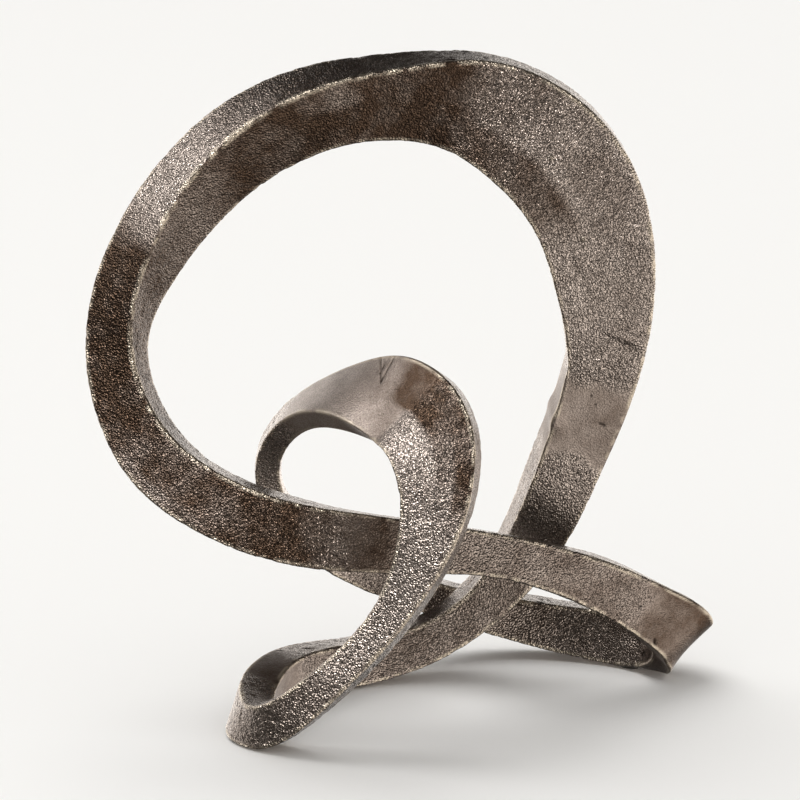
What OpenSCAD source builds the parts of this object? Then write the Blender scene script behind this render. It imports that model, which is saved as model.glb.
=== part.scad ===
/* [Overall] */
// Width of the bar's centre line, from the left of the ring to the right tip
line_w = 248; // [238:1:270]
// Depth of the centre line, from the front loop to the bar at the back
line_d = 142; // [138:1:160]
// Height of the centre line's highest point above the table
line_h = 270; // [259:1:299]

/* [Bar widths] */
// Width of the bar at the right tip
tip_w = 13; // [11:0.5:16]
// Width of the front rail
rail_w = 18; // [15:0.5:20]
// Width of the bar at the lower left of the ring
left_w = 20; // [17:0.5:24]
// Width of the face at the upper left of the ring
top_w = 35; // [28:0.5:42]
// Width of the ring's broad shoulder
ring_w = 52; // [42:0.5:60]
// Width of the right leg
leg_w = 20; // [16:0.5:22]
// Width of the bar round the low loop
foot_w = 21; // [18:0.5:23]
// Width of the front loop at its slimmest
neck_w = 15; // [12:0.5:18]
// Width of the front loop's broad top
loop_w = 41; // [33:0.5:47]
// Width of the bar at the back
back_w = 20; // [16:0.5:22]

/* [Bar thicknesses] */
// Thickness of the bar at the right tip
tip_t = 31; // [27:0.5:34]
// Thickness of the front rail
rail_t = 20; // [16:0.5:22]
// Thickness of the bar at the lower left of the ring
left_t = 28; // [24:0.5:31]
// Thickness at the upper left of the ring
top_t = 22; // [18:0.5:26]
// Thickness of the ring's broad shoulder
ring_t = 18; // [14:0.5:22]
// Thickness of the right leg
leg_t = 18; // [15:0.5:20]
// Thickness of the cast step just below the weld on the right of the ring
step_t = 22; // [19:0.5:24]
// Thickness of the bar round the low loop
foot_t = 17; // [15:0.5:19]
// Thickness of the front loop at its slimmest
neck_t = 15; // [12:0.5:17]
// Thickness of the front loop's broad top
loop_t = 17; // [13:0.5:19]
// Thickness of the bar at the back
back_t = 12.5; // [10.5:0.5:14.5]

/* [Edges, welds and pads] */
// Radius along the bar's four long edges
edge_r = 1.8; // [1.2:0.1:2.8]
// Width of each weld, across its V groove
groove_w = 9; // [6:0.5:12]
// Depth of the V groove below the bar's surface
groove_d = 4; // [2.5:0.25:4.5]
// Diameter of the felt pads
pad_d = 10; // [7:0.5:12]
// Thickness of the felt pads
pad_t = 1.2; // [0.8:0.1:2]
// Depth ground off the bar's lowest edges, to make its flats
flat_cut = 2.2; // [1.8:0.1:3]

/* [Hidden] */

// A width or thickness part of the way between two named ones
function mix(a, b, f) = a + (b - a) * f;

// Height of a bar's centre where it rests on its ground flat
function rest(h) = h / 2 + pad_t - flat_cut;

// Stations along the centre line, one list for each casting. Each has its centre,
// the direction that the bar's first face looks, its width and its thickness.
RAIL = [
    [[113, 34, 32], [6, 3, 7], mix(rail_w, tip_w, 0.8), mix(rail_t, tip_t, 0.65)],
    [[91, 24, 48], [5, 2, 8], mix(rail_w, tip_w, 0.2), mix(rail_t, tip_t, 0.35)],
    [[63, 10, 62], [2, 2, 9], rail_w, mix(rail_t, tip_t, 0.1)],
    [[35, -6, 73], [1, 2, 9], rail_w, rail_t],
    [[6, -20, 80], [1, 2, 9], mix(rail_w, left_w, 0.5), mix(rail_t, left_t, 0.5)]
];
RING_LEFT = [
    [[-24, -30, 86], [1, 2, 9], left_w, mix(rail_t, left_t, 0.85)],
    [[-52, -31, 92], [2, 1, 9], left_w, left_t],
    [[-81, -24, 102], [5, 1, 8], left_w, left_t],
    [[-108, -12, 122], [8, -1, 6], mix(left_w, top_w, -0.1), mix(left_t, top_t, 0.15)],
    [[-122, 0, 161], [9, -4, 0], mix(left_w, top_w, -0.27), mix(left_t, top_t, 0.8)],
    [[-111, 6, 198], [7, -6, -3], mix(left_w, top_w, 0.4), mix(left_t, top_t, 0.65)],
    [[-88, 10, 231], [5, -8, -4], mix(left_w, top_w, 0.8), mix(left_t, top_t, 0.85)],
    [[-60, 12, 254], [3, -9, -5], top_w, top_t],
    [[-28, 12, 267], [1, -9, -3], mix(top_w, ring_w, -0.15), mix(top_t, ring_t, 0.25)]
];
RING_RIGHT = [
    [[8, 12, 270], [0, -9, -2], mix(top_w, ring_w, 0.05), mix(top_t, ring_t, 0.75)],
    [[37, 9, 265], [0, -9, 0], mix(top_w, ring_w, 0.7), ring_t],
    [[62, 8, 249], [0, -9, 0], ring_w, ring_t],
    [[80, 11, 223], [0, -9, 1], mix(ring_w, leg_w, 0.05), ring_t],
    [[88, 18, 187], [0, -9, 1], mix(ring_w, leg_w, 0.25), ring_t],
    [[88, 26, 148], [1, -9, 2], mix(ring_w, leg_w, 0.6), ring_t]
];
LEG = [
    [[74, 36, 106], [2, -9, 2], mix(ring_w, leg_w, 0.7), step_t],
    [[60, 44, 68], [2, -9, 2], mix(ring_w, leg_w, 0.8), mix(leg_t, step_t, 0.5)],
    [[38, 47, 36], [3, -9, 2], leg_w, mix(leg_t, step_t, 0.25)],
    [[11, 44, 17], [2, -9, 1], leg_w, leg_t],
    [[-22, 35, rest(foot_w)], [3, -9, 1], foot_w, foot_t],
    [[-49, 8, 14], [5, -8, 0], foot_w, foot_t]
];
FRONT_LOOP = [
    [[-65, -29, rest(foot_w)], [9, 0, -3], mix(foot_w, neck_w, -0.15), foot_t],
    [[-57, -51, rest(foot_w)], [4, 9, -1], mix(foot_w, neck_w, 0.15), mix(foot_t, neck_t, 0.5)],
    [[-35, -60, 27], [4, 9, -1], mix(foot_w, neck_w, 0.65), foot_t],
    [[-8, -63, 55], [4, 9, -1], neck_w, neck_t],
    [[8, -64, 84], [3, 9, -1], mix(neck_w, loop_w, 0.25), mix(neck_t, loop_t, 0.5)],
    [[16, -61, 115], [2, 9, 0], mix(neck_w, loop_w, 0.65), loop_t],
    [[12, -51, 139], [1, 9, -2], loop_w, loop_t],
    [[-3, -32, 148], [4, 8, -5], mix(loop_w, back_w, 0.1), mix(loop_t, back_t, 0.35)]
];
BACK_LOOP = [
    [[-34, -4, 140], [5, 1, -7], mix(loop_w, back_w, 0.85), mix(loop_t, back_t, 1.25)],
    [[-55, 15, 116], [9, -1, -2], back_w, back_t],
    [[-54, 30, 84], [9, 1, 5], back_w, back_t],
    [[-27, 50, 54], [4, 0, 9], back_w, mix(back_t, tip_t, 0.17)],
    [[14, 71, 29], [1, 1, 9], mix(back_w, tip_w, 0.15), mix(back_t, tip_t, 0.17)],
    [[54, 78, 17], [1, 1, 9], mix(back_w, tip_w, 0.3), mix(back_t, tip_t, 0.45)],
    [[90, 69, 12], [2, 1, 9], mix(back_w, tip_w, 0.7), mix(back_t, tip_t, 0.63)],
    [[113, 57, rest(tip_t) - flat_cut], [5, 1, 8], mix(back_w, tip_w, 0.85), mix(back_t, tip_t, 0.77)],
    [[126, 42, 20], [7, 3, 6], tip_w, tip_t]
];
STATIONS = concat(RAIL, RING_LEFT, RING_RIGHT, LEG, FRONT_LOOP, BACK_LOOP);
COUNT = len(STATIONS);

// Each weld lies half way between the last station of one casting and the next one's first
U_TIP = -0.5;
U_RAIL = U_TIP + len(RAIL);
U_TOP = U_RAIL + len(RING_LEFT);
U_SIDE = U_TOP + len(RING_RIGHT);
U_LOW = U_SIDE + len(LEG);
U_SMALL = U_LOW + len(FRONT_LOOP);
U_END = U_SMALL + len(BACK_LOOP);

// Where the bar touches down, as places along the centre line
U_PAD_LOW = U_LOW + 1;
U_PAD_LEG = U_LOW - 1.5;
U_PAD_TIP = U_END - 1.9;

// The stations stretched to the overall sizes. Those below foot_z stay at their
// height, so the knot still rests on its flats when it is made taller.
foot_z = 17;
function reach(axis) = [for (s = STATIONS) s[0][axis]];
stretch_x = line_w / (max(reach(0)) - min(reach(0)));
stretch_y = line_d / (max(reach(1)) - min(reach(1)));
stretch_z = (line_h - foot_z) / (max(reach(2)) - foot_z);
function placed(p) = [p[0] * stretch_x, p[1] * stretch_y, p[2] + max(0, p[2] - foot_z) * (stretch_z - 1)];

// The stations as rows of eight numbers, then as the control rows of a closed
// cubic spline that runs almost exactly through them
function unit(v) = v / norm(v);
ROWS = [for (s = STATIONS) concat(placed(s[0]), unit(s[1]), [s[2], s[3]])];
CONTROL = [for (i = [0 : COUNT - 1])
    (8 * ROWS[i] - ROWS[(i + COUNT - 1) % COUNT] - ROWS[(i + 1) % COUNT]) / 6];

// Control row at any whole number, and the spline's value and slope at any u
function control(i) = CONTROL[(i + 2 * COUNT) % COUNT];
function along(u) = let (i = floor(u), f = u - i)
    (pow(1 - f, 3) * control(i - 1) + (3 * pow(f, 3) - 6 * f * f + 4) * control(i)
        + (-3 * pow(f, 3) + 3 * f * f + 3 * f + 1) * control(i + 1) + pow(f, 3) * control(i + 2)) / 6;
function slope(u) = let (i = floor(u), f = u - i)
    (-pow(1 - f, 2) * control(i - 1) + (3 * f * f - 4 * f) * control(i)
        + (-3 * f * f + 2 * f + 1) * control(i + 1) + f * f * control(i + 2)) / 2;
function part3(row, k) = [row[k], row[k + 1], row[k + 2]];

// Cross-section of the bar at u, a rectangle with rounded corners square to the
// centre line, drawn in by inset. Four points round each corner.
CORNERS = [[1, 1], [-1, 1], [-1, -1], [1, -1]];
function section(u, inset) = let (
    row = along(u),
    centre = part3(row, 0),
    ahead = unit(part3(slope(u), 0)),
    hint = part3(row, 3),
    face = unit(hint - (hint * ahead) * ahead),
    side = cross(face, ahead),
    w = row[6] - 2 * inset,
    t = row[7] - 2 * inset,
    r = max(edge_r - inset, 0.5))
    [for (k = [0 : 3], j = [0 : 3]) let (turn = 90 * k + 30 * j)
        centre + side * (CORNERS[k][0] * (w / 2 - r) + r * cos(turn))
            + face * (CORNERS[k][1] * (t / 2 - r) + r * sin(turn))];
SIDES = 16;

// Half of a weld's width, as a step along u
function half_weld(u) = groove_w / 2 / norm(part3(slope(u), 0));

// Rings for each station in a casting
fineness = 7;

// The knot's box over the whole bar, to put the origin under its middle
SKIN = [for (i = [0 : fineness * COUNT - 1]) each section(i / fineness, 0)];
function middle(axis) = let (v = [for (p = SKIN) p[axis]]) (max(v) + min(v)) / 2;
shift = [-middle(0), -middle(1), 0];

// Triangles between ring i and ring k of a loft, split along one diagonal or the other
function band(i, k, flip) = [for (j = [0 : SIDES - 1]) let (
    a = i * SIDES + j,
    b = i * SIDES + (j + 1) % SIDES,
    c = k * SIDES + (j + 1) % SIDES,
    d = k * SIDES + j)
    each flip ? [[a, d, b], [b, d, c]] : [[a, d, c], [a, c, b]]];

// One casting, between the welds at u0 and u1, with half a V groove at each end
module casting(u0, u1) {
    from = u0 + half_weld(u0);
    to = u1 - half_weld(u1);
    steps = round((u1 - u0) * fineness);
    rings = concat([section(u0, groove_d)],
        [for (i = [0 : steps]) section(mix(from, to, i / steps), 0)],
        [section(u1, groove_d)]);
    last = len(rings) - 1;
    polyhedron([for (r = rings) each r], concat(
        [[for (j = [0 : SIDES - 1]) j]],
        [for (i = [0 : last - 1]) each band(i, i + 1, false)],
        [[for (j = [SIDES - 1 : -1 : 0]) last * SIDES + j]]), convexity = 10);
}

// The weld that fills the V groove at u, ground flush with the bar
module weld(u) {
    h = half_weld(u);
    rings = [section(u - h, 0), section(u, 0), section(u + h, 0), section(u, groove_d)];
    polyhedron([for (r = rings) each r], concat(
        band(0, 1, false), band(1, 2, false), band(2, 3, true), band(3, 0, true)), convexity = 6);
}

// Stands the knot over the origin
module stand() {
    translate(shift) children();
}

// Grinds off whatever reaches below the tops of the pads
module ground_flat() {
    stand() difference() {
        children();
        translate([-line_w, -line_w, pad_t - line_w]) cube([2 * line_w, 2 * line_w, line_w]);
    }
}

// Middle of the ground flat at u, half way between the points where the
// section's outline passes through the height of the pads' tops
function flat_middle(u) = let (
    ring = section(u, 0),
    cuts = [for (j = [0 : SIDES - 1]) let (p = ring[j], q = ring[(j + 1) % SIDES])
        if ((p[2] - pad_t) * (q[2] - pad_t) < 0) p + (q - p) * (pad_t - p[2]) / (q[2] - p[2])])
    (cuts[0] + cuts[1]) / 2;

// A felt pad under the ground flat at u
module pad(u) {
    middle = flat_middle(u);
    stand() translate([middle[0], middle[1], 0]) cylinder(d = pad_d, h = pad_t);
}

module front_rail() {
    color("dimgray") stand() casting(U_TIP, U_RAIL);
}

module ring_left() {
    color("slategray") stand() casting(U_RAIL, U_TOP);
}

module ring_right() {
    color("gray") stand() casting(U_TOP, U_SIDE);
}

module right_leg() {
    color("darkslategray") ground_flat() casting(U_SIDE, U_LOW);
}

module front_loop() {
    color("rosybrown") ground_flat() casting(U_LOW, U_SMALL);
}

module back_loop() {
    color("saddlebrown") ground_flat() casting(U_SMALL, U_END);
}

module weld_rail() {
    color("silver") stand() weld(U_RAIL);
}

module weld_ring_top() {
    color("silver") stand() weld(U_TOP);
}

module weld_ring_side() {
    color("silver") stand() weld(U_SIDE);
}

module weld_low_loop() {
    color("silver") ground_flat() weld(U_LOW);
}

module weld_small_loop() {
    color("silver") stand() weld(U_SMALL);
}

module weld_tip() {
    color("silver") stand() weld(U_END);
}

module pad_low_loop() {
    color("black") pad(U_PAD_LOW);
}

module pad_leg() {
    color("black") pad(U_PAD_LEG);
}

module pad_tip() {
    color("black") pad(U_PAD_TIP);
}

front_rail();
ring_left();
ring_right();
right_leg();
front_loop();
back_loop();
weld_rail();
weld_ring_top();
weld_ring_side();
weld_low_loop();
weld_small_loop();
weld_tip();
pad_low_loop();
pad_leg();
pad_tip();
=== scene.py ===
import bpy
import numpy as np
from mathutils import Euler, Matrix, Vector


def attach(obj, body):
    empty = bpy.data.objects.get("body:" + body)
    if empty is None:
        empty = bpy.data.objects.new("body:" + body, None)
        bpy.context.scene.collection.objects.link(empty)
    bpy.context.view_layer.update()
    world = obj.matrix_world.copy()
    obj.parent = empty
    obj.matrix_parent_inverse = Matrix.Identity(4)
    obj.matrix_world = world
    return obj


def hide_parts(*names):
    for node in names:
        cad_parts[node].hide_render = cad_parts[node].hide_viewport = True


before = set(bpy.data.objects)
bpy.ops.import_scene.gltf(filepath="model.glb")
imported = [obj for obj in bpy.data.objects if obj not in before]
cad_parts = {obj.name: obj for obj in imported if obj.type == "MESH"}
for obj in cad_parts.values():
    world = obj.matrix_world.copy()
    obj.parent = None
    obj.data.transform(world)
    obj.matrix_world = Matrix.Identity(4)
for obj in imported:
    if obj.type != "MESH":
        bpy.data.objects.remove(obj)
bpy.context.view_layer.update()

# The six castings.
# Real piece: six open lengths of one four-sided bar, that close into a knot.
# Sand-cast aluminium with a dark pewter-brown patina, its high places rubbed
# bright. Each length has half a V groove at both ends, where the welds go.

# Stations along the centre line, in mm. Each has its centre, the direction
# that the bar's first face looks, its width and its thickness.
CASTINGS = {
    "front_rail": [
        (113, 34, 32, 6, 3, 7, 14.0, 27.15),
        (91, 24, 48, 5, 2, 8, 17.0, 23.85),
        (63, 10, 62, 2, 2, 9, 18.0, 21.1),
        (35, -6, 73, 1, 2, 9, 18.0, 20.0),
        (6, -20, 80, 1, 2, 9, 19.0, 24.0),
    ],
    "ring_left": [
        (-24, -30, 86, 1, 2, 9, 20.0, 26.8),
        (-52, -31, 92, 2, 1, 9, 20.0, 28.0),
        (-81, -24, 102, 5, 1, 8, 20.0, 28.0),
        (-108, -12, 122, 8, -1, 6, 18.5, 27.1),
        (-122, 0, 161, 9, -4, 0, 15.95, 23.2),
        (-111, 6, 198, 7, -6, -3, 26.0, 24.1),
        (-88, 10, 231, 5, -8, -4, 32.0, 22.9),
        (-60, 12, 254, 3, -9, -5, 35.0, 22.0),
        (-28, 12, 267, 1, -9, -3, 32.45, 21.0),
    ],
    "ring_right": [
        (8, 12, 270, 0, -9, -2, 35.85, 19.0),
        (37, 9, 265, 0, -9, 0, 46.9, 18.0),
        (62, 8, 249, 0, -9, 0, 52.0, 18.0),
        (80, 11, 223, 0, -9, 1, 50.4, 18.0),
        (88, 18, 187, 0, -9, 1, 44.0, 18.0),
        (88, 26, 148, 1, -9, 2, 32.8, 18.0),
    ],
    "right_leg": [
        (74, 36, 106, 2, -9, 2, 29.6, 22.0),
        (60, 44, 68, 2, -9, 2, 26.4, 20.0),
        (38, 47, 36, 3, -9, 2, 20.0, 19.0),
        (11, 44, 17, 2, -9, 1, 20.0, 18.0),
        (-22, 35, 9.5, 3, -9, 1, 21.0, 17.0),
        (-49, 8, 14, 5, -8, 0, 21.0, 17.0),
    ],
    "front_loop": [
        (-65, -29, 9.5, 9, 0, -3, 21.9, 17.0),
        (-57, -51, 9.5, 4, 9, -1, 20.1, 16.0),
        (-35, -60, 27, 4, 9, -1, 17.1, 17.0),
        (-8, -63, 55, 4, 9, -1, 15.0, 15.0),
        (8, -64, 84, 3, 9, -1, 21.5, 16.0),
        (16, -61, 115, 2, 9, 0, 31.9, 17.0),
        (12, -51, 139, 1, 9, -2, 41.0, 17.0),
        (-3, -32, 148, 4, 8, -5, 38.9, 15.425),
    ],
    "back_loop": [
        (-34, -4, 140, 5, 1, -7, 23.15, 11.375),
        (-55, 15, 116, 9, -1, -2, 20.0, 12.5),
        (-54, 30, 84, 9, 1, 5, 20.0, 12.5),
        (-27, 50, 54, 4, 0, 9, 20.0, 15.645),
        (14, 71, 29, 1, 1, 9, 18.95, 15.645),
        (54, 78, 17, 1, 1, 9, 17.9, 20.825),
        (90, 69, 12, 2, 1, 9, 15.1, 24.155),
        (113, 57, 12.3, 5, 1, 8, 14.05, 26.745),
        (126, 42, 20, 7, 3, 6, 13.0, 31.0),
    ],
}
ORIGIN = np.array([-2.45382, -6.47664, 0.0])  # added to every point to centre the object, in mm
EDGE_R = 1.6  # radius along the four long edges, in mm
FLOOR_CUT = 1.2  # height of the ground flats, in mm
GROOVE_W = 9.0  # width of the V groove at each joint, in mm
GROOVE_D = 4.0  # depth of that groove, in mm

rows = np.array([row for length in CASTINGS.values() for row in length])
rows[:, 3:6] /= np.linalg.norm(rows[:, 3:6], axis=1, keepdims=True)
knots = (8 * rows - np.roll(rows, 1, 0) - np.roll(rows, -1, 0)) / 6

# Where each casting starts and ends along the closed bar, counted in stations
counts = [len(length) for length in CASTINGS.values()]
starts = np.cumsum([0] + counts) - 0.5
STARTS = dict(zip(CASTINGS, starts[:-1]))
ENDS = dict(zip(CASTINGS, starts[1:]))

# The six joints: place along the bar, how far the ground metal reaches from
# the joint, in mm, before it and after it, and how smooth it was ground
JOINTS = {
    "weld_tip": (starts[0], 26, 14, 0.85),
    "weld_rail": (starts[1], 3, 9, 0.45),
    "weld_ring_top": (starts[2], 1, 1, 0.2),
    "weld_ring_side": (starts[3], 12, 16, 0.95),
    "weld_low_loop": (starts[4], 14, 8, 0.9),
    "weld_small_loop": (starts[5], 40, 34, 0.9),
}


def spline(u):
    """Closed cubic B-spline that passes close to the stations: the four control
    rows around u, each times its cubic weight, over six; and its slope along u."""
    i = np.floor(u).astype(int)
    f = (u - i)[:, None]
    a, b, c, d = (knots[(i + k) % len(knots)] for k in (-1, 0, 1, 2))
    row = (1 - f) ** 3 * a + (3 * f**3 - 6 * f**2 + 4) * b
    row = row + (-3 * f**3 + 3 * f**2 + 3 * f + 1) * c + f**3 * d
    slope = -((1 - f) ** 2) * a + (3 * f**2 - 4 * f) * b
    slope = slope + (-3 * f**2 + 2 * f + 1) * c + f**2 * d
    return row / 6, slope[:, :3] / 2


def joint_gap(u, place):
    """Signed distance along the bar from a joint, in mm: the stations between
    them, the short way round, times the spline's speed at the joint."""
    speed = np.linalg.norm(spline(np.array([place]))[1])
    lap = (u - place + len(knots) / 2) % len(knots) - len(knots) / 2
    return lap * speed


CORNER = 0.1  # how far a corner's arc counts into each of its faces, where a face is 1


def outline(long_cells, short_cells, corner_cells):
    """A four-sided outline as columns: where the column sits between the four
    corners, from -1 to 1 on both axes, the direction it faces, and its place
    round the bar from 0 to 4, with the corners at whole numbers."""
    cells = []
    corners = [(1, 1), (-1, 1), (-1, -1), (1, -1)]
    for k, (x, y) in enumerate(corners):
        turn = np.linspace(0, 1, corner_cells + 1)
        angle = np.pi / 2 * (k + turn)
        ones = np.ones_like(turn)
        place = k + CORNER * (2 * turn - 1)
        cells.append([x * ones, y * ones, np.cos(angle), np.sin(angle), place])
        run = np.arange(1, long_cells if k % 2 == 0 else short_cells)
        run = run / (len(run) + 1)
        nx, ny = corners[(k + 1) % 4]
        ones = np.ones_like(run)
        angle = np.pi / 2 * (k + 1)
        cells.append(
            [
                x + (nx - x) * run,
                y + (ny - y) * run,
                np.cos(angle) * ones,
                np.sin(angle) * ones,
                k + CORNER + (1 - 2 * CORNER) * run,
            ]
        )
    return np.hstack([np.array(c) for c in cells])


BOX = 64  # random numbers along each side of a noise's box
OFF_CENTRE = 17.3  # how far the box is moved off the object's origin, in cells


def noise(points, size, seed):
    """Smooth random values from -1 to 1: a box of random numbers, one every
    size mm, blended between the eight nearest with an eased cubic."""
    table = np.random.default_rng(seed).uniform(-1, 1, (BOX, BOX, BOX))
    p = points / size + OFF_CENTRE
    i = np.floor(p).astype(int)
    f = p - i
    f = f * f * (3 - 2 * f)
    total = 0
    for dx in (0, 1):
        for dy in (0, 1):
            for dz in (0, 1):
                weight = (
                    (f[..., 0] if dx else 1 - f[..., 0])
                    * (f[..., 1] if dy else 1 - f[..., 1])
                    * (f[..., 2] if dz else 1 - f[..., 2])
                )
                total = total + weight * table[
                    (i[..., 0] + dx) % BOX, (i[..., 1] + dy) % BOX, (i[..., 2] + dz) % BOX
                ]
    return total


def layers(points, kinds):
    """Several noises added up, each with its strength, its size and its seed."""
    return sum(strength * noise(points, size, seed) for strength, size, seed in kinds)


def ramp(x, low, high):
    """0 below low, 1 above high, an eased cubic between."""
    x = np.clip((x - low) / (high - low), 0, 1)
    return x * x * (3 - 2 * x)


LEAST_R = 0.5  # radius that an inset edge keeps, in mm


def surface(u, columns, inset=0.0):
    """The bar's skin as a grid of points in mm, rows along u and columns round
    the section: centre + side * across + face * up, each column at its corner
    arc's centre plus the edge radius in its own direction. Returns the points,
    the outward directions, and the distance from the nearest long edge's arc."""
    row, slope = spline(u)
    ahead = slope / np.linalg.norm(slope, axis=1, keepdims=True)
    face = row[:, 3:6] - (row[:, 3:6] * ahead).sum(1, keepdims=True) * ahead
    face /= np.linalg.norm(face, axis=1, keepdims=True)
    side = np.cross(face, ahead)
    x, y, cos, sin, _ = columns
    r = max(EDGE_R - inset, LEAST_R)
    half_w = (row[:, 6] / 2 - inset - r)[:, None]
    half_t = (row[:, 7] / 2 - inset - r)[:, None]
    across = x * half_w + r * cos
    up = y * half_t + r * sin
    points = row[:, None, :3] + side[:, None] * across[..., None]
    points = points + face[:, None] * up[..., None]
    outward = side[:, None] * cos[:, None] + face[:, None] * sin[:, None]
    from_edge = (1 - abs(x)) * half_w + (1 - abs(y)) * half_t
    return points, outward, from_edge


RAGGED = [(5, 9, 8)]  # moves the ground metal's border: how far and how coarsely, in mm, seed
BORDER = 4  # half the width of that border, in mm


def ground_share(points, u):
    """How smoothly the metal is ground: each joint's own smoothness within its
    reach, 0 on the rough casting, with a border that a cloudy noise moves."""
    share = np.zeros(points.shape[:2])
    ragged = layers(points, RAGGED)
    for place, before, after, smoothness in JOINTS.values():
        gap = joint_gap(u, place)[:, None]
        reach = np.where(gap < 0, before, after) + GROOVE_W / 2
        border = abs(gap) - reach + ragged
        share = np.maximum(share, smoothness * (1 - ramp(border, -BORDER, BORDER)))
    return share


# Marks of the casting and its finishing. Each runs between two places, given
# along the bar and round it, and has its half width and its height in mm.
MARKS = [
    # two beads of metal where the sand mould had blown
    (16.10, 0.51, 16.10, 0.51, 0.9, 1.1),
    (17.30, 0.61, 17.30, 0.61, 0.9, 1.1),
    # cold scar above the joint on the right of the ring
    (18.49, 0.50, 18.63, 0.16, 1.4, 0.45),
    (18.62, 0.44, 18.74, 0.20, 2.4, -0.4),
    # shoulder where the ring's thin side was built up to the leg's thick one
    (18.95, 1.15, 18.95, 1.85, 6.0, -0.9),
    (19.62, 1.15, 19.62, 1.85, 4.5, 1.0),
    (19.77, 1.0, 19.77, 1.0, 3.5, -0.5),
    # slit and two pits left open in that joint
    (19.50, 0.36, 19.51, 0.29, 0.4, -0.5),
    (19.24, 0.57, 19.24, 0.57, 0.5, -0.4),
    (19.32, 0.49, 19.32, 0.49, 0.5, -0.4),
    # hairline cracks in the joint of the small loop
    (33.24, 2.90, 33.09, 2.62, 0.4, -0.5),
    (33.05, 2.90, 33.09, 2.63, 0.4, -0.5),
    (33.14, 2.81, 33.16, 2.71, 0.4, -0.4),
    # pits in the small loop, the low loop's rim and the right tip
    (31.99, 2.76, 31.99, 2.76, 0.9, -0.5),
    (31.82, 2.82, 31.85, 2.80, 0.8, -0.5),
    (31.70, 2.86, 31.70, 2.86, 0.8, -0.4),
    (28.09, 2.86, 28.09, 2.86, 0.9, -0.5),
    (28.20, 2.92, 28.16, 2.92, 0.8, -0.5),
    (40.98, 1.77, 41.02, 1.72, 0.9, -0.6),
    (-0.09, 3.18, -0.12, 3.15, 0.9, -0.5),
]


BELL_REACH = 3  # half widths from a mark to where it has faded out
STAINED = 2  # a groove with a smaller half width holds dark stain, in mm
BEAD = 1  # a mark higher than this, and with a smaller half width, is a bead, in mm
TINY = 1e-9  # keeps a mark whose two ends are one point from a division by zero


def marks(points):
    """Height of the marks, and how much dark stain they hold, below zero on a
    bead that is rubbed bright: each is a ridge or a groove whose height falls
    off from the straight line between its ends as a bell curve of the distance."""
    height = np.zeros(points.shape[:2])
    stain = np.zeros(points.shape[:2])
    lap = outline(90, 50, 8)  # fine enough to place a mark
    for u0, place0, u1, place1, half_width, rise in MARKS:
        ends = []
        for u, place in ((u0, place0), (u1, place1)):
            column = np.argmin(abs(lap[4] - place))
            ends.append(surface(np.array([u]), lap[:, [column]])[0][0, 0])
        run = ends[1] - ends[0]
        near = np.linalg.norm(points - (ends[0] + ends[1]) / 2, axis=-1)
        near = near < np.linalg.norm(run) / 2 + BELL_REACH * half_width
        if not near.any():
            continue
        close = points[near]
        t = np.clip((close - ends[0]) @ run / max(run @ run, TINY), 0, 1)
        gap = np.linalg.norm(close - ends[0] - t[:, None] * run, axis=1)
        bell = np.exp(-((gap / half_width) ** 2))
        height[near] += rise * bell
        if rise < 0 and half_width < STAINED:
            stain[near] = np.maximum(stain[near], bell)
        elif rise > BEAD and half_width < BEAD:
            stain[near] = -bell
    return height, stain


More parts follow.
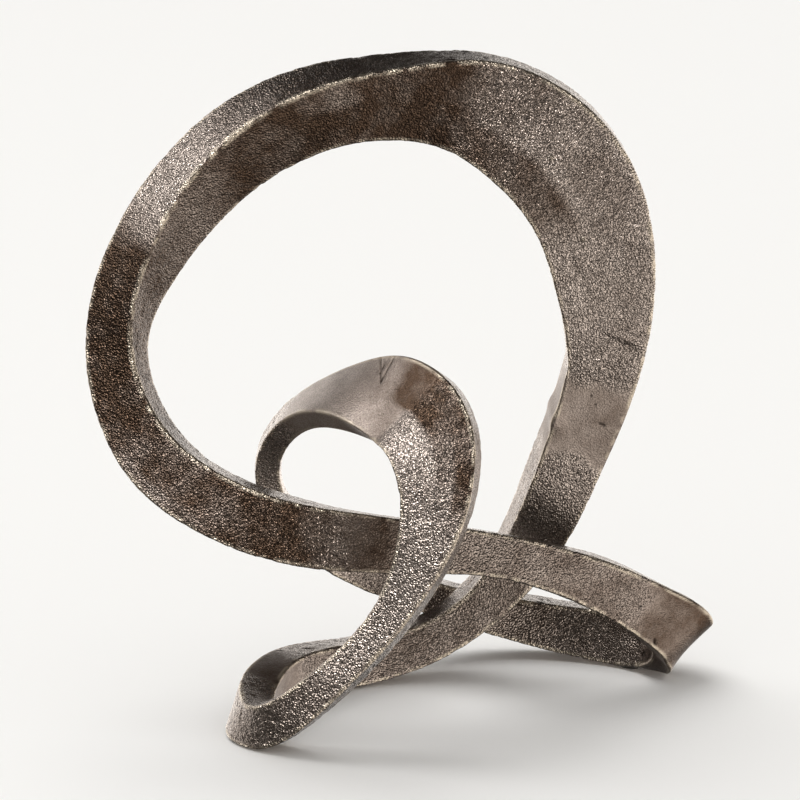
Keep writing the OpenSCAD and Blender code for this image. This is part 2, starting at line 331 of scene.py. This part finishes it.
# How dark the patina was left, from 0 rubbed back to 1 untouched. Some rows
# also paint light and shade: the pale row on the ring's upper left rim is a
# painted highlight where the left lamp's glint falls, the pale row on the small
# loop's front is partly burnished and partly a painted highlight, and the dark
# rows over the ring's top are partly painted shade. Each row has the stretch of
# the bar, counted in stations, the part of its lap (faces lie between whole
# numbers, edges on them), and the darkness there. Later rows lie over earlier ones.
PATINA_AND_PAINTED_LIGHT = [
    (-0.5, 42.5, 0.0, 4.0, 0.45),
    # front rail and right tip
    (-1.0, 0.4, 3.0, 4.0, 0.6),
    (0.6, 3.2, 3.0, 4.0, 0.55),
    (3.4, 5.6, 3.0, 4.0, 0.55),
    (5.6, 6.9, 3.0, 4.0, 0.95),
    # left of the ring, and the outer rim over its top and right
    (6.9, 8.2, 3.0, 4.0, 0.8),
    (7.2, 8.4, 3.0, 3.25, 0.5),
    (8.2, 10.2, 3.0, 4.0, 1.0),
    # painted highlight: the rim left fully bright where the left lamp's glint falls
    (10.5, 11.6, 3.0, 4.0, 0.0),
    (11.8, 12.4, 3.0, 4.0, 0.45),
    (12.4, 14.6, 3.0, 4.0, 0.75),
    (14.9, 19.0, 3.0, 4.0, 0.1),
    (8.0, 11.2, 0.0, 1.0, 0.55),
    (7.6, 10.2, 0.0, 1.0, 0.75),
    # partly painted shade: the top of the ring darkened where little light falls
    (11.2, 13.4, 0.0, 1.0, 0.95),
    (12.9, 13.45, 0.0, 0.4, 0.6),
    # right of the ring and right leg
    # partly painted shade, as on the ring's top before it
    (13.4, 14.8, 0.0, 1.0, 0.92),
    (14.9, 15.7, 0.0, 1.0, 0.5),
    (15.8, 19.0, 0.0, 1.0, 0.1),
    (14.8, 17.0, 0.62, 1.0, 0.75),
    (16.3, 17.4, 0.15, 0.5, 0.35),
    (19.0, 19.7, 0.0, 1.0, 0.2),
    (19.9, 21.5, 0.0, 1.0, 0.15),
    # foot of the right leg, low loop and front strand
    (21.5, 25.0, 0.0, 1.0, 0.5),
    (24.5, 27.5, 1.0, 2.0, 0.5),
    (26.0, 28.0, 2.0, 3.0, 0.4),
    (28.2, 31.0, 2.0, 3.0, 0.05),
    # small loop and the bar that leaves it
    # partly a painted highlight: the small loop's burnished front left fully bright where the
    # front left lamp's glint falls
    (31.0, 32.4, 2.0, 2.5, 0.0),
    (31.8, 33.0, 2.5, 2.95, 0.9),
    (30.8, 32.2, 2.72, 3.0, 0.85),
    (32.9, 34.6, 2.0, 3.0, 0.05),
    (35.0, 37.5, 0.0, 4.0, 0.45),
    (33.6, 37.0, 0.0, 2.0, 0.0),
    # bar at the back
    (37.5, 41.2, 1.0, 2.0, 0.45),
]


FADE_ALONG = (0.35, 0.5)  # how far a row fades inside and outside its ends, in stations
FADE_ROUND = (0.04, 0.06)  # the same round the bar, in faces
CLOUDS = [(0.1, 17, 11), (0.08, 6, 12)]  # change of darkness, size in mm, seed


def patina_and_painted_light_map(points, u, place):
    """Darkness of the patina, with the painted highlights and painted shade that
    some rows hold: each row of the list above blended over the ones before it
    through soft borders, then broken up by two cloudy noises."""
    darkness = np.zeros((len(u), len(place)))
    for first, last, low, high, value in PATINA_AND_PAINTED_LIGHT:
        middle, half = (first + last) / 2, (last - first) / 2
        away = (u - middle + len(rows) / 2) % len(rows) - len(rows) / 2
        along = 1 - ramp(abs(away), half - FADE_ALONG[0], half + FADE_ALONG[1])
        middle, half = (low + high) / 2, (high - low) / 2
        away = (place - middle + 2) % 4 - 2
        round_it = 1 - ramp(abs(away), half - FADE_ROUND[0], half + FADE_ROUND[1])
        share = along[:, None] * round_it[None]
        darkness = darkness + (value - darkness) * share
    return np.clip(darkness + layers(points, CLOUDS), 0, 1)


# Noises of the relief. Each has its strength, its size in mm and its seed, and
# the strength of waves and lumps is their height in mm.
WAVES = [(0.35, 34, 1), (0.12, 13, 2)]
LUMPS = [(0.08, 4.2, 3), (0.15, 1.3, 4)]
PATCHES = [(0.5, 26, 5)]
PITS = [(1, 3.4, 6)]
CHIPS = [(1, 4.5, 7)]
# Values of their noise at which pits and chips begin, and at which they are full
PIT_LEVELS = (0.5, 0.8)
CHIP_LEVELS = (0.2, 0.9)
PIT_DEPTH = 0.3  # in mm
CHIP_DEPTH = 0.3  # in mm
CHIP_REACH = 2.5  # how far past a long edge's arc the chips reach, in mm
SUNK = 0.5  # how far the skin lies inside the smooth form, in mm, to leave room for lumps


def relief(points, u, from_edge):
    """Height of the skin over its smooth form, in mm: slow waves of hand work,
    lumps and grain of the sand mould, pits, and softly chipped long edges.
    Returns it with the share of rough casting and the stain in the marks."""
    ground = ground_share(points, u)
    patchy = 0.5 + layers(points, PATCHES)
    rough = (1 - ground) * (0.7 + 0.3 * patchy)
    edge = 1 - ramp(from_edge, 0, CHIP_REACH)
    waves = layers(points, WAVES)
    lumps = layers(points, LUMPS)
    pits = ramp(layers(points, PITS) * rough, *PIT_LEVELS)
    chips = edge * ramp(layers(points, CHIPS), *CHIP_LEVELS)
    mark, stain = marks(points)
    height = waves + lumps * rough - PIT_DEPTH * pits - CHIP_DEPTH * chips * rough + mark
    return height - SUNK, rough, stain


RUB_WIDTH = (0.1, 1.1)  # distance past an edge's arc over which its rubbing fades, in mm
RUB_GAPS = [(1, 3.0, 9)]  # noise that interrupts it: strength, size in mm, seed
RUB_LEVELS = (-0.7, 0.3)  # values of that noise with no rubbing and with all of it
BEAD_RUB = 1.4  # how brightly a bead is rubbed, beside an edge's 1
GROUND_PATINA = 0.35  # how much darker fully ground metal took the patina


def skin(u, columns):
    """The finished skin: the smooth form moved out by its relief and cut flat
    where it meets a pad. Returns points in mm and its finish values: the share
    of rough casting, the stain, the rubbing of edges and beads, and the patina
    with the painted highlights and painted shade of its map."""
    points, outward, from_edge = surface(u, columns)
    height, rough, stain = relief(points, u, from_edge)
    rub = (1 - ramp(from_edge, *RUB_WIDTH)) * ramp(layers(points, RUB_GAPS), *RUB_LEVELS)
    patina_and_painted_light = patina_and_painted_light_map(points, u, columns[4]) + GROUND_PATINA * (1 - rough)
    finish = {
        "rough": rough,
        "stain": np.maximum(stain, 0),
        "edge": np.maximum(rub, BEAD_RUB * np.maximum(-stain, 0)),
        "patina_and_painted_light": np.clip(patina_and_painted_light, 0, 1),
    }
    points = points + outward * height[..., None] + ORIGIN
    points[..., 2] = np.maximum(points[..., 2], FLOOR_CUT)
    return points, finish


MM_IN_METRE = 1000


def make_piece(name, points, quads, fans, finish, hidden):
    """Puts points in mm and their faces into a mesh piece in metres. The rows
    of faces named as hidden, in the grooves, are shaded flat, so the seam's
    edge keeps the skin's own shading."""
    mesh = bpy.data.meshes.new(name)
    mesh.vertices.add(len(points))
    mesh.vertices.foreach_set("co", (points / MM_IN_METRE).astype(np.float32).ravel())
    corners = np.concatenate([quads.ravel(), fans.ravel()])
    sizes = np.concatenate([np.full(len(quads), 4), np.full(len(fans), 3)])
    mesh.loops.add(len(corners))
    mesh.loops.foreach_set("vertex_index", corners.astype(np.int32))
    mesh.polygons.add(len(sizes))
    begin = np.concatenate([[0], np.cumsum(sizes)[:-1]])
    mesh.polygons.foreach_set("loop_start", begin.astype(np.int32))
    smooth = np.ones(len(sizes), bool)
    smooth[hidden] = False
    mesh.polygons.foreach_set("use_smooth", smooth)
    for key, values in finish.items():
        field = mesh.attributes.new(key, "FLOAT", "POINT")
        field.data.foreach_set("value", values.astype(np.float32).ravel())
    mesh.update(calc_edges=True)
    ends = np.zeros(len(mesh.edges) * 2, np.int32)
    mesh.edges.foreach_get("vertices", ends)
    skin_points = np.zeros(len(points), bool)
    groove_points = np.zeros(len(points), bool)
    flat_faces = np.repeat(~smooth, sizes)
    skin_points[corners[~flat_faces]] = True
    groove_points[corners[flat_faces]] = True
    seam = (skin_points & groove_points)[ends.reshape(-1, 2)].all(1)
    sharp = mesh.attributes.new("sharp_edge", "BOOLEAN", "EDGE")
    sharp.data.foreach_set("value", seam)
    piece = bpy.data.objects.new(name, mesh)
    bpy.context.scene.collection.objects.link(piece)
    return piece


def bands(lines, across):
    """Quads between each row of a grid and the next, closed round the bar."""
    i = np.arange(lines - 1)[:, None] * across
    j = np.arange(across)[None]
    k = (j + 1) % across
    quads = np.stack([i + j, i + k, i + across + k, i + across + j], -1)
    return quads.reshape(-1, 4)


CELL = {  # length of a cell on each casting's skin, in mm
    "front_rail": 0.5,
    "ring_left": 0.64,
    "ring_right": 0.6,
    "right_leg": 0.55,
    "front_loop": 0.55,
    "back_loop": 0.6,
}
SQUEEZE = 0.8  # cells are a quarter wider across the bar than along it
CORNER_CELLS = 6
SAMPLES = 400  # places at which the length along a casting is measured

castings = {}
for name in CASTINGS:
    first, last, cell = STARTS[name], ENDS[name], CELL[name]
    low = first + GROOVE_W / 2 / np.linalg.norm(spline(np.array([first]))[1])
    high = last - GROOVE_W / 2 / np.linalg.norm(spline(np.array([last]))[1])
    fine = spline(np.linspace(low, high, SAMPLES))[0]
    steps = np.linalg.norm(np.diff(fine[:, :3], axis=0), axis=1)
    run = np.concatenate([[0], np.cumsum(steps)])
    lines = int(run[-1] / cell)
    u = np.interp(np.linspace(0, run[-1], lines), run, np.linspace(low, high, SAMPLES))
    columns = outline(
        int(fine[:, 6].max() / cell * SQUEEZE),
        int(fine[:, 7].max() / cell * SQUEEZE),
        CORNER_CELLS,
    )
    around = columns.shape[1]
    points, finish = skin(u, columns)
    roots = [surface(np.array([end]), columns, GROOVE_D)[0] for end in (first, last)]
    roots = [root + ORIGIN for root in roots]
    for root in roots:
        root[..., 2] = np.maximum(root[..., 2], FLOOR_CUT)
    grid = np.concatenate([roots[0], points, roots[1]])
    flat = np.concatenate(
        [grid.reshape(-1, 3), roots[0].mean((0, 1))[None], roots[1].mean((0, 1))[None]]
    )
    quads = bands(len(grid), around)
    j = np.arange(around)
    k = (j + 1) % around
    top = (len(grid) - 1) * around
    hub = len(grid) * around
    fans = np.concatenate(
        [
            np.stack([k, j, np.full(around, hub)], -1),
            np.stack([top + j, top + k, np.full(around, hub + 1)], -1),
        ]
    )
    for key in finish:
        pad = np.zeros((1, around))
        values = np.concatenate([pad, finish[key], pad]).ravel()
        finish[key] = np.concatenate([values, [0, 0]])
    groove = np.arange(around)
    hidden = np.concatenate(
        [groove, len(quads) - 1 - groove, len(quads) + np.arange(2 * around)]
    )
    castings[name] = make_piece(name + "_cast", flat, quads, fans, finish, hidden)


def linear(code):
    """Linear RGBA from an sRGB hex colour."""
    parts = [int(code[k : k + 2], 16) / 255 for k in (1, 3, 5)]
    return [p / 12.92 if p <= 0.04045 else ((p + 0.055) / 1.055) ** 2.4 for p in parts] + [1]


def add(material, kind, sockets=None, **settings):
    """Adds a node to a material or world: settings are its own properties, and
    each socket gets a plain value or a link from another node's output."""
    tree = material.node_tree
    new = tree.nodes.new(kind)
    for key, value in settings.items():
        setattr(new, key, value)
    for key, value in (sockets or {}).items():
        if isinstance(value, bpy.types.NodeSocket):
            tree.links.new(value, new.inputs[key])
        else:
            new.inputs[key].default_value = value
    return new


# Sand-cast aluminium, patinated bronze brown and rubbed back. The eye sees a
# skin of small glossy lumps that sparkle silver where they face a light, with
# dark brown hollows, and satin bands where the joints were ground.
# Rubbed metal and patina colours; the patina map also lays them down as painted highlights
# (rubbed back) and painted shade (brown patina) on some stretches of the bar
RUBBED_BACK = linear("#b0a49b")
BROWN_PATINA = linear("#4a3b30")
DARK_STAIN = linear("#2a211b")
BRIGHT_EDGE = linear("#b5a998")
LUMPS_PER_MM = 1.4
SAND_PER_MM = 1.7
CLOUDS_PER_MM = 0.075
LUMP_HEIGHT = 0.00052  # in metres
SAND_RELIEF = 0.25  # height of the sand beside that of the lumps
GROUND_GRAIN = 0.28  # share of the grain that is left on ground metal
EDGE_RUB = 0.7  # how far a rubbed edge takes its bright colour
LUMP_POLISH = 0.2  # how much less rough the lumps are than ground metal

cast_metal = bpy.data.materials.new("sand_cast_patinated_aluminium")
cast_metal.use_nodes = True
cast_metal.node_tree.nodes.clear()
place = add(cast_metal, "ShaderNodeTexCoord").outputs["Object"]
cast = add(cast_metal, "ShaderNodeAttribute", attribute_name="rough").outputs["Fac"]
# Grinding leaves a faint grain and dark pores in the ground bands
rough = add(
    cast_metal,
    "ShaderNodeMath",
    {0: cast, 1: 1 - GROUND_GRAIN, 2: GROUND_GRAIN},
    operation="MULTIPLY_ADD",
).outputs[0]
edge = add(cast_metal, "ShaderNodeAttribute", attribute_name="edge").outputs["Fac"]
patina_and_painted_light = add(cast_metal, "ShaderNodeAttribute", attribute_name="patina_and_painted_light").outputs["Fac"]
# Grain of the moulding sand, lumps of 0.7 mm
lumps = add(
    cast_metal,
    "ShaderNodeTexNoise",
    {"Vector": place, "Scale": LUMPS_PER_MM * MM_IN_METRE, "Detail": 0.0},
).outputs["Fac"]
# Finer sand between them, drawn at 0.6 mm because the real 0.2 mm wouldn't show
sand = add(
    cast_metal,
    "ShaderNodeTexNoise",
    {"Vector": place, "Scale": SAND_PER_MM * MM_IN_METRE, "Detail": 1.0, "Roughness": 0.5},
).outputs["Fac"]
# Dark stain left in the hollows of the grain
hollow = add(
    cast_metal,
    "ShaderNodeMapRange",
    {"Value": sand, "From Min": 0.57, "From Max": 0.41, "To Min": 0.0, "To Max": 0.8},
    interpolation_type="SMOOTHSTEP",
).outputs["Result"]
hollow = add(cast_metal, "ShaderNodeMath", {0: hollow, 1: rough}, operation="MULTIPLY").outputs[0]
stain = add(cast_metal, "ShaderNodeAttribute", attribute_name="stain").outputs["Fac"]
hollow = add(cast_metal, "ShaderNodeMath", {0: hollow, 1: stain}, operation="MAXIMUM").outputs[0]
# Clouds of patina 13 mm across, with finer ones in them
cloud = add(
    cast_metal,
    "ShaderNodeTexNoise",
    {"Vector": place, "Scale": CLOUDS_PER_MM * MM_IN_METRE, "Detail": 4.0, "Roughness": 0.65},
).outputs["Fac"]
cloud = add(
    cast_metal,
    "ShaderNodeMapRange",
    {"Value": cloud, "From Min": 0.35, "From Max": 0.65, "To Min": -0.12, "To Max": 0.12},
).outputs["Result"]
patina_and_painted_light = add(cast_metal, "ShaderNodeMath", {0: patina_and_painted_light, 1: cloud}, operation="ADD").outputs[0]
# Patina blend: besides the real patina it carries the map's painted highlights and painted shade
metal = add(
    cast_metal,
    "ShaderNodeMix",
    {0: patina_and_painted_light, 6: RUBBED_BACK, 7: BROWN_PATINA},
    data_type="RGBA",
).outputs[2]
stained = add(
    cast_metal,
    "ShaderNodeMix",
    {0: hollow, 6: metal, 7: DARK_STAIN},
    data_type="RGBA",
).outputs[2]
# Edges and beads that hands and cloths have rubbed bright
rub = add(cast_metal, "ShaderNodeMath", {0: edge, 1: EDGE_RUB}, operation="MULTIPLY").outputs[0]
colour = add(
    cast_metal,
    "ShaderNodeMix",
    {0: rub, 6: stained, 7: BRIGHT_EDGE},
    data_type="RGBA",
).outputs[2]
# Stain is duller than bare metal
matt = add(
    cast_metal,
    "ShaderNodeMapRange",
    {"Value": hollow, "From Min": 0.0, "From Max": 1.0, "To Min": 0.44, "To Max": 0.62},
).outputs["Result"]
# Each lump is a small mirror, while the ground bands have a satin finish
gloss = add(
    cast_metal, "ShaderNodeMath", {0: cast, 1: -LUMP_POLISH, 2: matt}, operation="MULTIPLY_ADD"
).outputs[0]
grain = add(
    cast_metal, "ShaderNodeMath", {0: sand, 1: SAND_RELIEF, 2: lumps}, operation="MULTIPLY_ADD"
).outputs[0]
height = add(
    cast_metal, "ShaderNodeMath", {0: grain, 1: rough}, operation="MULTIPLY"
).outputs[0]
bump = add(
    cast_metal,
    "ShaderNodeBump",
    {"Height": height, "Distance": LUMP_HEIGHT, "Strength": 1.0},
).outputs["Normal"]
shader = add(
    cast_metal,
    "ShaderNodeBsdfPrincipled",
    {"Base Color": colour, "Metallic": 1.0, "Roughness": gloss, "Normal": bump},
)
add(cast_metal, "ShaderNodeOutputMaterial", {"Surface": shader.outputs["BSDF"]})

for name, piece in castings.items():
    piece.data.materials.append(cast_metal)
    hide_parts(name)
    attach(piece, "root")

# The six welds.
# Real piece: a bead of filler metal in each V groove, run right round the bar
# and ground flush. It is the same aluminium, smoother than the castings.

WELD_LINES = 18  # rows across a weld
WELD_CELLS = (60, 40)  # cells along its wide and its narrow faces
for name, (middle, *_) in JOINTS.items():
    half = GROOVE_W / 2 / np.linalg.norm(spline(np.array([middle]))[1])
    u = np.linspace(middle - half, middle + half, WELD_LINES)
    columns = outline(*WELD_CELLS, CORNER_CELLS)
    around = columns.shape[1]
    points, finish = skin(u, columns)
    root = surface(np.array([middle]), columns, GROOVE_D)[0] + ORIGIN
    root[..., 2] = np.maximum(root[..., 2], FLOOR_CUT)
    grid = np.concatenate([points, root])
    quads = bands(len(grid), around)
    j = np.arange(around)
    k = (j + 1) % around
    last = WELD_LINES * around
    closing = np.stack([last + j, last + k, k, j], -1)
    for key in finish:
        finish[key] = np.concatenate([finish[key], np.zeros((1, around))])
    piece = make_piece(
        name + "_bead",
        grid.reshape(-1, 3),
        np.concatenate([quads, closing]),
        np.zeros((0, 3), int),
        finish,
        np.arange((WELD_LINES - 1) * around, (WELD_LINES + 1) * around),
    )
    piece.data.materials.append(cast_metal)
    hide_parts(name)
    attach(piece, "root")

# The three pads.
# Real piece: a disc of pressed wool felt, glued under each ground flat so the
# sculpture doesn't scratch the table.

# Pressed wool felt, dark grey-brown. The eye sees no gloss, only clumps of
# matted fibre 0.7 mm across, and a faint pale fuzz along the edge.
DARK_WOOL = linear("#241f1c")
PALE_WOOL = linear("#4b443f")
CLUMPS_PER_MM = 1.5
NAP_HEIGHT = 0.0003  # in metres

felt = bpy.data.materials.new("pressed_wool_felt")
felt.use_nodes = True
felt.node_tree.nodes.clear()
place = add(felt, "ShaderNodeTexCoord").outputs["Object"]
fibres = add(
    felt,
    "ShaderNodeTexNoise",
    {"Vector": place, "Scale": CLUMPS_PER_MM * MM_IN_METRE, "Detail": 4.0, "Roughness": 0.7},
).outputs["Fac"]
wool = add(
    felt,
    "ShaderNodeMix",
    {0: fibres, 6: DARK_WOOL, 7: PALE_WOOL},
    data_type="RGBA",
).outputs[2]
nap = add(
    felt, "ShaderNodeBump", {"Height": fibres, "Distance": NAP_HEIGHT}
).outputs["Normal"]
shader = add(
    felt,
    "ShaderNodeBsdfPrincipled",
    {"Base Color": wool, "Roughness": 0.95, "Normal": nap, "Sheen Weight": 0.3},
)
add(felt, "ShaderNodeOutputMaterial", {"Surface": shader.outputs["BSDF"]})
for name in ("pad_low_loop", "pad_leg", "pad_tip"):
    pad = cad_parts[name]
    pad.data.materials.clear()
    pad.data.materials.append(felt)

# The table, light and camera.
# A plain pale floor under soft studio light, seen from 15 degrees above the
# level. The metal mirrors the world's own studio and lamps, not this floor.

SPREAD = 8.0  # half the floor's side, in metres
floor_mesh = bpy.data.meshes.new("floor")
floor_mesh.from_pydata(
    [(-SPREAD, -SPREAD, 0), (SPREAD, -SPREAD, 0), (SPREAD, SPREAD, 0), (-SPREAD, SPREAD, 0)],
    [],
    [(0, 1, 2, 3)],
)
floor = bpy.data.objects.new("floor", floor_mesh)
bpy.context.scene.collection.objects.link(floor)
table = bpy.data.materials.new("pale_matt_table")
table.use_nodes = True
table_shader = table.node_tree.nodes["Principled BSDF"]
table_shader.inputs["Base Color"].default_value = linear("#f4f3f1")
table_shader.inputs["Roughness"].default_value = 0.9
floor.data.materials.append(table)
floor.visible_glossy = False

world = bpy.data.worlds.new("studio")
world.use_nodes = True
world.node_tree.nodes.clear()
toward = add(world, "ShaderNodeTexCoord").outputs["Generated"]
mirrored = add(world, "ShaderNodeLightPath").outputs["Is Glossy Ray"]
# What the metal mirrors: a pale band of table and low wall, level with the
# horizon at the back and sinking below it at the sides and front. It is dark
# above and below, and on the front left. Each row of the list has an axis, and
# how far a direction leans along it where the studio is dark and where pale.
STUDIO = [
    ((-0.82, -0.57, 0.0), 0.68, 0.36),
    ((0.0, -0.22, 1.0), -0.76, -0.56),
    ((0.0, -0.22, 1.0), 0.12, -0.1),
]
BAND_GLOW = 2.7
DARK_GLOW = 0.11
ROOM_GLOW = 0.62  # of the plain room that lights the table

band = 1.0
for axis, dark, pale in STUDIO:
    along = add(
        world, "ShaderNodeVectorMath", {0: toward, 1: axis}, operation="DOT_PRODUCT"
    ).outputs["Value"]
    share = add(
        world,
        "ShaderNodeMapRange",
        {"Value": along, "From Min": dark, "From Max": pale},
        interpolation_type="SMOOTHSTEP",
    ).outputs["Result"]
    band = add(world, "ShaderNodeMath", {0: share, 1: band}, operation="MULTIPLY").outputs[0]
glow = add(
    world, "ShaderNodeMath", {0: band, 1: BAND_GLOW, 2: DARK_GLOW}, operation="MULTIPLY_ADD"
).outputs[0]
studio = add(world, "ShaderNodeBackground", {"Color": linear("#f2eee9"), "Strength": glow})
room = add(world, "ShaderNodeBackground", {"Color": linear("#fbfaf8"), "Strength": ROOM_GLOW})
both = add(
    world,
    "ShaderNodeMixShader",
    {0: mirrored, 1: room.outputs[0], 2: studio.outputs[0]},
)
add(world, "ShaderNodeOutputWorld", {"Surface": both.outputs[0]})
bpy.context.scene.world = world

# Soft lamps that only gloss shows: their name, place and side in metres, and
# power in watts
SOFTBOXES = [
    ("left_softbox", (-1.44, 0.14, 1.20), 0.7, 12),
    ("front_left_softbox", (-0.92, -1.36, 1.22), 0.85, 36),
    ("back_left_softbox", (-0.85, 1.46, 0.75), 0.6, 2.5),
]
AIM = Vector((0, 0, 0.14))  # about the middle of the sculpture
for name, spot, size, power in SOFTBOXES:
    lamp = bpy.data.lights.new(name, "AREA")
    lamp.size = size
    lamp.energy = power
    holder = bpy.data.objects.new(name, lamp)
    holder.location = spot
    holder.rotation_euler = (AIM - Vector(spot)).to_track_quat("-Z", "Y").to_euler()
    holder.visible_diffuse = False
    bpy.context.scene.collection.objects.link(holder)
# One wide soft light from above, which lights the table and shows in no gloss
overhead = bpy.data.lights.new("overhead_silk", "SUN")
overhead.energy = 1.6
overhead.angle = np.radians(50)
holder = bpy.data.objects.new("overhead_silk", overhead)
holder.rotation_euler = Euler((np.radians(-20), np.radians(-14), 0))
holder.visible_glossy = False
bpy.context.scene.collection.objects.link(holder)

# The photograph's view, from in front and 15 degrees above the level
VIEW_ANGLE = np.radians(15)
VIEW_DISTANCE = 2.0
VIEW_AIM = (-0.00245, -0.006478, 0.139702)
lens = bpy.data.cameras.new("camera")
lens.lens = 209.3  # long enough to frame the object as the photograph does
lens.sensor_width = 36
lens.clip_end = 50
camera = bpy.data.objects.new("camera", lens)
camera.location = (
    VIEW_AIM[0],
    VIEW_AIM[1] - VIEW_DISTANCE * np.cos(VIEW_ANGLE),
    VIEW_AIM[2] + VIEW_DISTANCE * np.sin(VIEW_ANGLE),
)
camera.rotation_euler = Euler((np.radians(90) - VIEW_ANGLE, 0, 0))
bpy.context.scene.collection.objects.link(camera)
bpy.context.scene.camera = camera
bpy.context.scene.view_settings.view_transform = "Standard"
